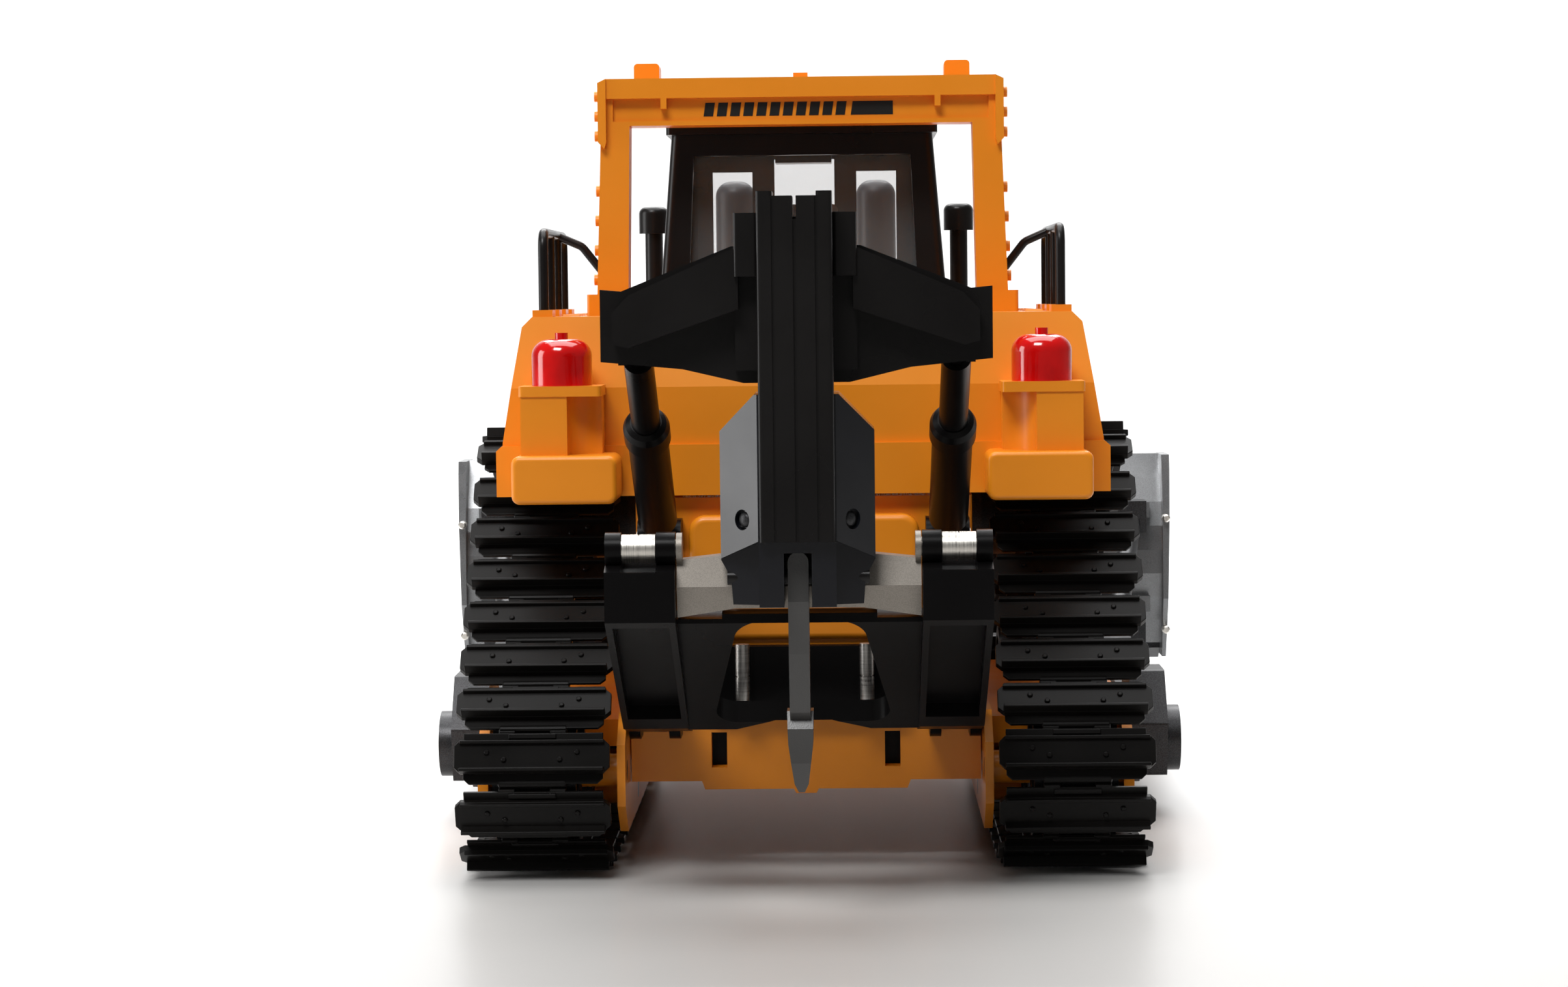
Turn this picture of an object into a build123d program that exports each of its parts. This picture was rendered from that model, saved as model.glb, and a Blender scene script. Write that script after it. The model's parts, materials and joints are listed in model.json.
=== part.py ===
from build123d import *
import math
import os

# Toy bulldozer with raised drive sprockets, a lifting blade at the front and a ripper at the back.
# Millimetres. +Y is the front, +Z is up, and the floor under the tracks is z = 0.
# Each function below makes one group of pieces; save() writes one file per named piece.

# ---- driving dimensions -------------------------------------------------------------------
TRACK_OUTER = 100.0          # half of the width over the track shoes
SHOE_WIDTH = 44.5
TRACK_MID = TRACK_OUTER - SHOE_WIDTH / 2
LINK_COUNT = 39
PITCH_RADIUS = 24.0          # radius of the link pins where the belt goes round a wheel
GROUSER_TOP = 5.5            # height of a grouser over the pin line
RAIL_DROP = 3.2              # depth of the link rails under the pin line
SHOE_LENGTH = 9.6
REAR_IDLER = (-115.0, PITCH_RADIUS + GROUSER_TOP)
FRONT_IDLER = (97.0, PITCH_RADIUS + GROUSER_TOP)
SPROCKET = (-51.0, 98.0)
WHEEL_RADIUS = PITCH_RADIUS - RAIL_DROP - 0.3
AXLE_RADIUS = 3.0
RUNNING = 0.06               # radial clearance of a running fit
ROLLER_RADIUS = 8.0
ROLLER_YS = (-64.0, -10.0, 46.0)
BELT_START = 3.0             # first link centre after the lowest point of the rear idler
ROLLER_Z = REAR_IDLER[1] - PITCH_RADIUS + RAIL_DROP + 0.3 + ROLLER_RADIUS
WALL = 2.0
FRAME_INNER = 52.2           # inner face of the track frames

TUB_HALF = 50.0
TUB_BOTTOM = 24.0
TUB_TOP = 108.0
TUB_REAR = -97.0
TUB_FRONT = 122.0
SHELL_BOTTOM = 109.0
DECK = 162.0                 # height of the fender deck
SHELL_REAR = -100.0
SHELL_FRONT = 20.0

CAB_REAR = -45.0
CAB_FRONT = 16.0
CAB_TOP = 217.5
ROPS_Y = -60.0
HOOD_HALF = 37.0
HOOD_FRONT = 128.0
HOOD_TOP = 154.0

# The ripper is a parallelogram: the draft frame below, two struts above, the carriage behind.
FRAME_PIVOT = (-110.0, 45.0)
LINK_VECTOR = (-96.0, 56.0)
CARRIAGE_PIVOT = (FRAME_PIVOT[0] + LINK_VECTOR[0], FRAME_PIVOT[1] + LINK_VECTOR[1])
STRUT_PIVOT = (-104.0, 97.0)
WING_PIVOT = (STRUT_PIVOT[0] + LINK_VECTOR[0], STRUT_PIVOT[1] + LINK_VECTOR[1])
STRUT_X = 42.4
MAST_REAR = -230.0

TRUNNION = (-10.0, 24.0)     # push arm pivots on the track frames
BLADE_HALF = 137.0
LIFT_X = 45.0
LIFT_PIVOT = (125.0, 121.0)  # lift cylinder pivots beside the radiator
LIFT_EYE = (180.0, 50.0)     # rod eyes behind the blade

LOW = (Align.CENTER, Align.CENTER, Align.MIN)


# ---- small shape helpers ------------------------------------------------------------------
def block(x0, x1, y0, y1, z0, z1):
    return Pos((x0 + x1) / 2, (y0 + y1) / 2, (z0 + z1) / 2) * Box(x1 - x0, y1 - y0, z1 - z0)


def side_profile(points, x0, x1):
    """Outline of (y, z) points, solid from x0 to x1."""
    face = Plane.YZ.offset(x0) * make_face(Polyline(*points, close=True))
    return extrude(face, x1 - x0)


def rear_profile(points, y0, y1):
    """Outline of (x, z) points, solid from y0 to y1."""
    face = Plane.XZ.offset(-y1) * make_face(Polyline(*points, close=True))
    return extrude(face, y1 - y0)


def top_profile(points, z0, z1):
    """Outline of (x, y) points, solid from z0 to z1."""
    face = Plane.XY.offset(z0) * make_face(Polyline(*points, close=True))
    return extrude(face, z1 - z0)


def rod_x(centre, radius, x0, x1):
    """Round bar along X through centre, a (y, z) point."""
    return Pos(x0, centre[0], centre[1]) * Rot(0, 90, 0) * Cylinder(radius, x1 - x0, align=LOW)


def rod(start, end, radius):
    """Round bar from one point to another."""
    axis = Vector(*end) - Vector(*start)
    return Plane(origin=start, z_dir=axis) * Cylinder(radius, axis.length, align=LOW)


def post(x, y, z0, z1, radius):
    return Pos(x, y, z0) * Cylinder(radius, z1 - z0, align=LOW)


def soften(solid, radius, axis=None):
    """Rounds every edge, or only the edges that lie along one axis."""
    edges = solid.edges() if axis is None else solid.edges().filter_by(axis)
    return fillet(edges, radius)


def both(solid):
    """A left and right pair."""
    return [solid, mirror(solid, Plane.YZ)]


def save(name, *pieces):
    solids = [solid for piece in pieces for solid in piece.solids()]
    export_step(Compound(solids), f"parts/{name}.step")


def save_pair(name, piece):
    """The same piece on the right and, mirrored, on the left."""
    for side, solid in zip(("right", "left"), both(piece)):
        save(f"{side}_{name}", solid)


# ---- tracks -------------------------------------------------------------------------------
def belt_runs():
    """Straight runs and arcs of the pin line, in the order the belt goes round."""
    wheels = [REAR_IDLER, FRONT_IDLER, SPROCKET]
    runs = []
    for index, wheel in enumerate(wheels):
        following = wheels[(index + 1) % 3]
        heading = math.atan2(following[1] - wheel[1], following[0] - wheel[0])
        length = math.dist(wheel, following)
        runs.append((wheel, heading, length))
    return runs


def belt_place(distance):
    """Point on the pin line and heading of the belt there."""
    runs = belt_runs()
    for index, (wheel, heading, length) in enumerate(runs):
        start_y = wheel[0] + PITCH_RADIUS * math.sin(heading)
        start_z = wheel[1] - PITCH_RADIUS * math.cos(heading)
        if distance <= length:
            place_y = start_y + distance * math.cos(heading)
            return place_y, start_z + distance * math.sin(heading), heading
        distance -= length
        next_wheel, next_heading, _ = runs[(index + 1) % 3]
        turn = (next_heading - heading) % (2 * math.pi)
        if distance <= turn * PITCH_RADIUS:
            angle = heading + distance / PITCH_RADIUS
            place_y = next_wheel[0] + PITCH_RADIUS * math.sin(angle)
            return place_y, next_wheel[1] - PITCH_RADIUS * math.cos(angle), angle
        distance -= turn * PITCH_RADIUS
    return belt_place(distance)


def track_link():
    """One link on the right track: shoe with its grousers, two rails and a bush between them.
    Local Y runs along the belt and local -Z points away from the wheels."""
    x0, x1 = TRACK_OUTER - SHOE_WIDTH, TRACK_OUTER
    half = SHOE_LENGTH / 2
    corner = 2.0
    plate = top_profile([(x0, -half + corner), (x0 + corner, -half), (x1 - corner, -half),
                         (x1, -half + corner), (x1, half - corner), (x1 - corner, half),
                         (x0 + corner, half), (x0, half - corner)], -3.0, -1.0)
    grouser = block(x0 + 2.4, x1 - 2.4, half - 1.6, half, -GROUSER_TOP, -3.0)
    lip = block(x0 + 2.4, x1 - 2.4, -half, -half + 1.2, -4.0, -3.0)
    base = block(x0 + 2.0, x1 - 2.5, -7.0, 7.7, -1.2, -0.2)
    link = plate + grouser + lip + base
    for inner in (TRACK_MID - 10.0, TRACK_MID + 5.0):
        rail = side_profile([(-7.6, -1.0), (7.6, -1.0), (7.6, 1.2), (6.7, RAIL_DROP),
                             (-6.7, RAIL_DROP), (-7.6, 1.2)], inner, inner + 5.0)
        link += rail
    return link + rod_x((7.2, 0.0), 1.4, TRACK_MID - 5.0, TRACK_MID + 5.0)


def tracks():
    runs = belt_runs()
    perimeter = sum(run[2] for run in runs) + 2 * math.pi * PITCH_RADIUS
    pitch = perimeter / LINK_COUNT
    link = track_link()
    belt = []
    for index in range(LINK_COUNT):
        place_y, place_z, heading = belt_place(BELT_START + index * pitch)
        belt.append(Pos(0, place_y, place_z) * Rot(math.degrees(heading), 0, 0) * link)
    save("right_track_belt", *belt)
    save("left_track_belt", *[mirror(piece, Plane.YZ) for piece in belt])


def wheel(centre, radius, guide_radius):
    """Twin-rim wheel with a guide flange between the belt rails, and a bored hub."""
    x0, x1 = TRACK_MID - 12.0, TRACK_MID + 12.0
    body = rod_x(centre, radius, x0, x1)
    body += rod_x(centre, guide_radius, TRACK_MID - 4.0, TRACK_MID + 4.0)
    dish = radius - 3.5
    if dish > 8.0:
        body -= rod_x(centre, dish, x1 - 4.0, x1 + 1.0)
        body -= rod_x(centre, dish, x0 - 1.0, x0 + 4.0)
        body += rod_x(centre, 7.0, x0, x1)
    return body - rod_x(centre, AXLE_RADIUS + RUNNING, x0 - 1.0, x1 + 1.0)


def running_gear():
    for name, centre in (("rear_idler", REAR_IDLER), ("front_idler", FRONT_IDLER)):
        idler = wheel(centre, WHEEL_RADIUS, WHEEL_RADIUS + 1.2)
        for step in range(5):
            angle = math.radians(72 * step)
            hole = (centre[0] + 11.5 * math.sin(angle), centre[1] + 11.5 * math.cos(angle))
            idler -= rod_x(hole, 3.0, TRACK_MID - 13.0, TRACK_MID + 13.0)
        save_pair(name, idler)
    for number, roller_y in enumerate(ROLLER_YS, start=1):
        roller = wheel((roller_y, ROLLER_Z), ROLLER_RADIUS, ROLLER_RADIUS + 1.0)
        save_pair(f"roller_{number}", roller)


def sprockets():
    """Toothed wheel on the drive shaft; its teeth turn in the channel between the rails."""
    x0, x1 = TRACK_MID - 12.0, TRACK_MID + 12.0
    teeth = 19
    drive = rod_x(SPROCKET, WHEEL_RADIUS, x0 + 7.0, x1 - 7.0)
    tooth = side_profile([(-1.7, WHEEL_RADIUS - 1.0), (1.7, WHEEL_RADIUS - 1.0),
                          (0.9, WHEEL_RADIUS + 1.2), (-0.9, WHEEL_RADIUS + 1.2)],
                         TRACK_MID - 4.0, TRACK_MID + 4.0)
    for index in range(teeth):
        drive += Pos(0, *SPROCKET) * Rot(360 / teeth * index, 0, 0) * tooth
    for step in range(6):
        angle = math.radians(60 * step)
        hole = (SPROCKET[0] + 13.5 * math.sin(angle), SPROCKET[1] + 13.5 * math.cos(angle))
        drive -= rod_x(hole, 2.6, x0, x1)
    drive += rod_x(SPROCKET, 9.0, x0, x1)
    drive += chamfer(rod_x(SPROCKET, 7.0, x1, x1 + 4.0).edges().sort_by(Axis.X)[-1:], 1.2)
    drive += rod_x(SPROCKET, AXLE_RADIUS, TUB_HALF - 8.0, x0)
    save_pair("sprocket", drive)
    housing = rod_x(SPROCKET, 15.0, TUB_HALF, TUB_HALF + 4.0)
    housing += rod_x(SPROCKET, 11.0, TUB_HALF + 4.0, x0 - 1.0)
    housing -= rod_x(SPROCKET, AXLE_RADIUS + RUNNING, TUB_HALF - 1.0, x0)
    save("final_drive_housings", *both(housing))


def track_frames():
    """Inner plate beside the chassis, outer plate inside the belt, a box beam joining them."""
    inner = side_profile([(-124, 20), (-112, 11), (96, 11), (108, 20), (108, 38), (96, 46),
                          (-112, 46), (-124, 38)], FRAME_INNER, FRAME_INNER + 2.4)
    outer = side_profile([(-121, 24), (-108, 11), (90, 11), (103, 24), (103, 35), (90, 45),
                          (-108, 45), (-121, 35)], 92.5, 95.5)
    beam = block(FRAME_INNER + 2.4, 92.5, -88, 70, 33, 41)
    frame = inner + outer + beam
    for pad_y in (-70, 30):
        frame += block(TUB_HALF, FRAME_INNER, pad_y, pad_y + 40, 28, 42)
    axle_places = [REAR_IDLER, FRONT_IDLER] + [(y, ROLLER_Z) for y in ROLLER_YS]
    for place in axle_places:
        frame += rod_x(place, 4.8, FRAME_INNER + 1.0, TRACK_MID - 12.4)
        frame += rod_x(place, 4.8, TRACK_MID + 12.4, 93.5)
        frame -= rod_x(place, AXLE_RADIUS, FRAME_INNER - 1.0, 96.5)
    frame += rod_x(TRUNNION, 9.0, 95.5, 98.5)
    frame += rod_x(TRUNNION, 5.0, 97.5, 112.0)
    save("track_frames", *both(frame))
    axles = []
    for place in axle_places:
        axle = rod_x(place, AXLE_RADIUS, FRAME_INNER, 95.5)
        if math.dist(place, TRUNNION) > 15.0:
            axle += rod_x(place, 4.6, 95.5, 97.3)
        axles += both(axle)
    save("wheel_axles", *axles)


# ---- chassis ------------------------------------------------------------------------------
def chassis():
    tub = block(-TUB_HALF, TUB_HALF, TUB_REAR, TUB_FRONT, TUB_BOTTOM, TUB_TOP)
    tub = soften(tub, 3.0, Axis.Z)
    inside = block(-TUB_HALF + WALL, TUB_HALF - WALL, TUB_REAR + WALL, TUB_FRONT - WALL,
                   TUB_BOTTOM + WALL, TUB_TOP + 1)
    door_hole = block(-28, 28, -20, 60, TUB_BOTTOM - 1, TUB_BOTTOM + WALL + 1)
    switch_hole = block(-3, 3, -58, -46, TUB_BOTTOM - 1, TUB_BOTTOM + WALL + 1)
    tub = tub - inside - door_hole - switch_hole
    for side in (-1, 1):
        tub -= block(side * 25.7 - 2.3, side * 25.7 + 2.3, TUB_REAR - 1, TUB_REAR + WALL + 1,
                     28, 38.5)
    for shaft in both(rod_x(SPROCKET, AXLE_RADIUS + RUNNING, 40, 60)):
        tub -= shaft
    for side in (-1, 1):
        tub += post(side * 30, 90, TUB_BOTTOM, TUB_TOP, 3.5)
        tub += post(side * 40, -80, TUB_BOTTOM, TUB_TOP, 3.5)
    save("chassis_tub", tub)
    save("battery_door", block(-28, 28, -20, 60, TUB_BOTTOM, TUB_BOTTOM + WALL))
    pack = soften(block(-22, 22, -14, 54, 27, 45), 4.0, Axis.Y)
    save("battery_pack", pack)
    save("circuit_board", block(-25, 25, 64, 112, 34, 35.6))
    button = block(-2.6, 2.6, -52.0, -48.6, TUB_BOTTOM - 1.6, TUB_BOTTOM + 3.0)
    button += block(-4.6, 4.6, -53.4, -47.2, TUB_BOTTOM + WALL + 0.1, TUB_BOTTOM + WALL + 1.2)
    save("power_switch", button)
    gearbox = soften(block(22, TUB_HALF - 8.5, -72, -30, 80, 106), 2.0, Axis.X)
    motor = rod_x((-51, 66), 10.0, 18, 42)
    save("drive_units", *both(gearbox), *both(motor))
    half = FRAME_INNER - 0.4
    plate = rear_profile([(-half, 24), (-31, 24), (-30, 21.5), (30, 21.5), (31, 24), (half, 24),
                          (half, 66), (-half, 66)], TUB_REAR - 4, TUB_REAR)
    for side in (-1, 1):
        plate -= block(side * 25.7 - 2.3, side * 25.7 + 2.3, TUB_REAR - 5, TUB_REAR + 1, 28, 38.5)
    box = block(-34, 34, TUB_REAR - 6, TUB_REAR, 66, 103)
    box = fillet(box.edges().filter_by(Axis.Y).group_by(Axis.Z)[-1], 5.0)
    box = fillet(box.edges().group_by(Axis.Y)[0], 2.0)
    tab = rear_profile([(-4, 22), (-3, 20.2), (3, 20.2), (4, 22)], TUB_REAR - 4, TUB_REAR - 1)
    save("rear_cover", plate + box + tab)


def hitch_bracket():
    """Black bracket on the rear cover that carries both pivots of the ripper on each side."""
    ears = []
    for x0, x1 in ((36.5, 39.8), (48.2, 51.5)):
        lower = rod_x(FRAME_PIVOT, 7.0, x0, x1)
        lower += block(x0, x1, FRAME_PIVOT[0], TUB_REAR - 4, 38, 52)
        ears.append(lower - rod_x(FRAME_PIVOT, 2.5, 30, 60))
    for x0, x1 in ((36.0, 39.2), (45.6, 48.8)):
        upper = rod_x(STRUT_PIVOT, 5.0, x0, x1)
        upper += block(x0, x1, STRUT_PIVOT[0], TUB_REAR, 92, 102)
        ears.append(upper - rod_x(STRUT_PIVOT, 2.0, 30, 60))
    block_half = 29.0
    hitch = block(-block_half, block_half, TUB_REAR - 10, TUB_REAR - 4, 46, 64.5)
    hitch = soften(hitch, 1.5, Axis.Y)
    save("ripper_brackets", hitch, *[one for ear in ears for one in both(ear)])
    rods = []
    for x in (-18.3, 18.3):
        upper = post(x, TUB_REAR - 12.2, 56.3, 65.5, 2.1)
        lower = post(x, TUB_REAR - 12.2, 46.5, 55.9, 2.1)
        neck = post(x, TUB_REAR - 12.2, 55, 57, 1.8)
        rods.append(upper + lower + neck)
    save("hitch_rods", *rods)
    pins = [rod_x(FRAME_PIVOT, 2.5, 36.5, 51.8), rod_x(STRUT_PIVOT, 2.0, 36.0, 49.1)]
    save("bracket_pins", *[one for pin in pins for one in both(pin)])


# ---- bodywork -----------------------------------------------------------------------------
def fender_outline(grow):
    """Cross-section of the rear bodywork, moved inwards where grow is negative."""
    top = DECK + grow
    return [(-88.7 - grow, 125), (-83 - grow, top - 3), (-80 - grow, top), (80 + grow, top),
            (83 + grow, top - 3), (88.7 + grow, 125), (90.0 + grow, SHELL_BOTTOM),
            (-90.0 - grow, SHELL_BOTTOM)]


def body_shell():
    """Hollow fender body: sloping rear panel, deck, flared lip at the back."""
    outer = rear_profile(fender_outline(0.0), SHELL_REAR, SHELL_FRONT)
    lean = side_profile([(SHELL_REAR - 1, 141), (SHELL_REAR, 141), (SHELL_REAR + 5.5, DECK + 1),
                         (SHELL_REAR - 1, DECK + 1)], -120, 120)
    outer -= lean
    hollow = rear_profile([(-86.7, 125), (-81.2, DECK - WALL - 2.4), (-78.5, DECK - WALL),
                           (78.5, DECK - WALL), (81.2, DECK - WALL - 2.4), (86.7, 125),
                           (88.0, SHELL_BOTTOM - 1), (-88.0, SHELL_BOTTOM - 1)],
                          SHELL_REAR + WALL, SHELL_FRONT - WALL)
    lean_inside = side_profile([(SHELL_REAR, 140), (SHELL_REAR + WALL, 140),
                                (SHELL_REAR + WALL + 6, DECK + 1), (SHELL_REAR, DECK + 1)],
                               -120, 120)
    shell = outer - (hollow - lean_inside)
    for side in (-1, 1):
        x_low, x_high = sorted((side * 52.0, side * 120.0))
        shell -= block(x_low, x_high, -90.0, SHELL_FRONT + 1, 90, 131)
    lip = rear_profile([(-88.9, 124), (88.9, 124), (90.6, 122.5), (90.6, SHELL_BOTTOM),
                        (-90.6, SHELL_BOTTOM), (-90.6, 122.5)], SHELL_REAR - 1.4, SHELL_REAR)
    shell += lip
    for side in (-1, 1):
        x_low, x_high = sorted((side * 74.0, side * 80.0))
        for foot_y in (-88.0, -64.0, -40.0, -16.0):
            shell += block(x_low, x_high, foot_y - 5, foot_y + 5, DECK - 1, DECK + 2)
    shoulder = block(-60, 60, SHELL_FRONT, 68, 118, 146)
    shoulder = fillet(shoulder.edges().filter_by(Axis.Y).group_by(Axis.Z)[-1], 4.0)
    shoulder -= block(-58, 58, SHELL_FRONT - 1, 66, 117, 144)
    shoulder -= block(-HOOD_HALF, HOOD_HALF, SHELL_FRONT, 69, 117, 147)
    shell += shoulder
    shell -= block(-HOOD_HALF, HOOD_HALF, SHELL_FRONT - WALL - 1, SHELL_FRONT + 1, 108, 160)
    save("body_shell", shell)
    return shell


def tail_lamps(shell):
    """Orange lamp pods on the rear corners, each with a red dome."""
    base = block(53.5, 84.0, -125.0, SHELL_REAR - 1.4, 108, 122)
    base = fillet(base.edges().filter_by(Axis.Y), 2.4)
    base = fillet(base.edges().group_by(Axis.Y)[0], 1.4)
    pedestal = block(58.5, 81.5, -119.5, SHELL_REAR, 122, 139)
    scoop = post(58.5, -119.5, 121, 139, 9.5)
    pedestal = pedestal - scoop
    cap = block(58.0, 82.0, -120.0, SHELL_REAR, 139, 142)
    cap = fillet(cap.edges().filter_by(Axis.Z), 1.2)
    pod = base + pedestal + cap
    pods = both(pod - shell)
    save("tail_lamp_pods", *pods)
    dome = post(70.0, -110.5, 142.0, 155.6, 8.85)
    dome = fillet(dome.edges().group_by(Axis.Z)[-1], 5.0)
    dome += post(70.0, -110.5, 155.0, 157.4, 1.9)
    save("tail_lamp_domes", *both(dome))


def hood():
    outline = [(-HOOD_HALF, TUB_TOP), (-HOOD_HALF, HOOD_TOP - 8), (-HOOD_HALF + 8, HOOD_TOP),
               (HOOD_HALF - 8, HOOD_TOP), (HOOD_HALF, HOOD_TOP - 8), (HOOD_HALF, TUB_TOP)]
    cover = rear_profile(outline, CAB_FRONT + 3, HOOD_FRONT)
    inner = rear_profile([(-HOOD_HALF + WALL, TUB_TOP - 1), (-HOOD_HALF + WALL, HOOD_TOP - 9),
                          (-HOOD_HALF + 9, HOOD_TOP - WALL), (HOOD_HALF - 9, HOOD_TOP - WALL),
                          (HOOD_HALF - WALL, HOOD_TOP - 9), (HOOD_HALF - WALL, TUB_TOP - 1)],
                         CAB_FRONT + 3 + WALL, HOOD_FRONT - WALL)
    cover -= inner
    slope = side_profile([(60, HOOD_TOP + 1), (HOOD_FRONT + 1, HOOD_TOP + 1),
                          (HOOD_FRONT + 1, HOOD_TOP - 7), (60, HOOD_TOP)], -60, 60)
    cover -= slope
    roof = side_profile([(60, HOOD_TOP), (HOOD_FRONT, HOOD_TOP - 6.9),
                         (HOOD_FRONT, HOOD_TOP - 8.9), (60, HOOD_TOP - WALL)], -28, 28)
    cover += roof
    for step in range(7):
        slot_y = 74 + 6.5 * step
        for side in (-1, 1):
            x_low, x_high = sorted((side * (HOOD_HALF - 3), side * (HOOD_HALF + 1)))
            cover -= block(x_low, x_high, slot_y, slot_y + 3, 116, 138)
    window = block(-29, 29, HOOD_FRONT - WALL - 1, HOOD_FRONT + 1, 90, 140)
    save("hood", cover - window)
    guard = soften(block(-HOOD_HALF, HOOD_HALF, TUB_FRONT, HOOD_FRONT, 42, TUB_TOP), 2.0, Axis.Z)
    guard -= block(-30, 30, HOOD_FRONT - 3, HOOD_FRONT + 1, 48, TUB_TOP + 1)
    ear = block(HOOD_HALF - 1, HOOD_HALF + 2, TUB_FRONT, HOOD_FRONT, 90, 122)
    ear += rod_x(LIFT_PIVOT, 6.0, HOOD_HALF, HOOD_HALF + 2)
    ear -= block(HOOD_HALF - 2, HOOD_HALF, TUB_FRONT - 8, HOOD_FRONT + 8, TUB_TOP, 130)
    ear += rod_x(LIFT_PIVOT, 2.0, HOOD_HALF + 1, LIFT_X + 4.0)
    for piece in both(ear):
        guard += piece
    save("radiator_guard", guard)
    grille = block(-29, 29, HOOD_FRONT - 2.6, HOOD_FRONT - 1.2, 49, 139)
    for step in range(14):
        bar_z = 52 + 6.3 * step
        grille += block(-29, 29, HOOD_FRONT - 1.4, HOOD_FRONT, bar_z, bar_z + 2.6)
    save("radiator_grille", grille)


def air_cleaners():
    """Two precleaner bowls on the hood, just ahead of the cab."""
    bowl = post(23.6, 44, HOOD_TOP, 178, 4.0) + post(23.6, 44, 178, 206, 6.6)
    bowl = fillet(bowl.edges().group_by(Axis.Z)[-1], 5.0)
    save("air_precleaners", *both(bowl))
    stack = post(51.5, 50, 146, 158, 5.6) + post(51.5, 50, 158, 190, 3.0)
    stack += Pos(51.5, 50, 189) * Cylinder(5.0, 9.0, align=LOW)
    stack = fillet(stack.edges().group_by(Axis.Z)[-1], 2.4)
    save("exhaust_stacks", *both(stack))


# ---- cab ----------------------------------------------------------------------------------
def cab_outline(inset):
    """Cab cross-section, wider at the foot than at the roof."""
    return [(-45.0 + inset, DECK), (-40.5 + inset, CAB_TOP), (40.5 - inset, CAB_TOP),
            (45.0 - inset, DECK)]


def cab():
    wall = 3.0
    frame = rear_profile(cab_outline(0.0), CAB_REAR, CAB_FRONT)
    frame = fillet(frame.edges().filter_by(GeomType.LINE).filter_by(
        lambda edge: abs(edge.tangent_at(0.5).Y) < 0.01 and abs(edge.tangent_at(0.5).Z) > 0.9),
        3.0)
    inside = rear_profile(cab_outline(wall), CAB_REAR + wall, CAB_FRONT - wall)
    frame -= inside
    frame -= rear_profile([(-35.4, 172), (-33.6, 211), (33.6, 211), (35.4, 172)],
                          CAB_REAR - 1, CAB_REAR + wall + 1)
    frame -= block(-9.8, 9.8, CAB_FRONT - wall - 1, CAB_FRONT + 1, 170.0, 212.0)
    for side in (-1, 1):
        x_low, x_high = sorted((side * 17.0, side * 30.0))
        frame -= block(x_low, x_high, CAB_FRONT - wall - 1, CAB_FRONT + 1, 170.0, 208.0)
    frame -= block(-50, 50, CAB_REAR + 7, -18, 174, 209)
    frame -= block(-50, 50, -13, CAB_FRONT - 7, 168, 209)
    floor = block(-41.5, 41.5, CAB_REAR + wall, CAB_FRONT - wall, DECK, DECK + 1.6)
    save("cab_frame", frame + floor)
    roof = block(-42, 42, CAB_REAR - 3, CAB_FRONT + 4, CAB_TOP, CAB_TOP + 2.5)
    roof = soften(roof, 2.2, Axis.Z)
    roof += block(-38, 38, CAB_REAR + 1, CAB_FRONT, CAB_TOP + 2.5, CAB_TOP + 6)
    roof += block(-9, 9, -10, 4, CAB_TOP - 7.5, CAB_TOP - 3.0)
    roof += block(-4, 4, -6, 0, CAB_TOP - 3.0, CAB_TOP)
    save("cab_roof", roof)
    panes = [block(-36.5, 36.5, CAB_REAR + wall, CAB_REAR + wall + 1, 170.5, 212.5)]
    panes.append(block(-35, 35, CAB_FRONT - wall - 1, CAB_FRONT - wall, 168, 213))
    for y0, y1, z0 in ((CAB_REAR + 5, -16.5, 172), (-14.5, CAB_FRONT - 5, 166)):
        pane = block(0, 60, y0, y1, z0, 211) & rear_profile(cab_outline(wall), CAB_REAR, CAB_FRONT)
        pane -= rear_profile(cab_outline(wall + 1.0), CAB_REAR, CAB_FRONT)
        right = [solid for solid in pane.solids() if solid.center().X > 0]
        for solid in right:
            panes += both(solid)
    save("cab_windows", *panes)
    seat = soften(block(-11, 11, -34, -12, 170, 176), 2.0, Axis.Y)
    seat += soften(block(-11, 11, -36, -31, 174, 196), 2.0, Axis.Y)
    seat += block(-7, 7, -28, -16, DECK + 1.6, 171)
    console = side_profile([(2, DECK + 1.6), (11.5, DECK + 1.6), (11.5, 180), (8, 182), (2, 176)],
                           -22, 22)
    for x in (-14, 14):
        console += rod((x, 4, 176), (x, -3, 190), 1.1)
    save("cab_interior", seat, console)


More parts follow.
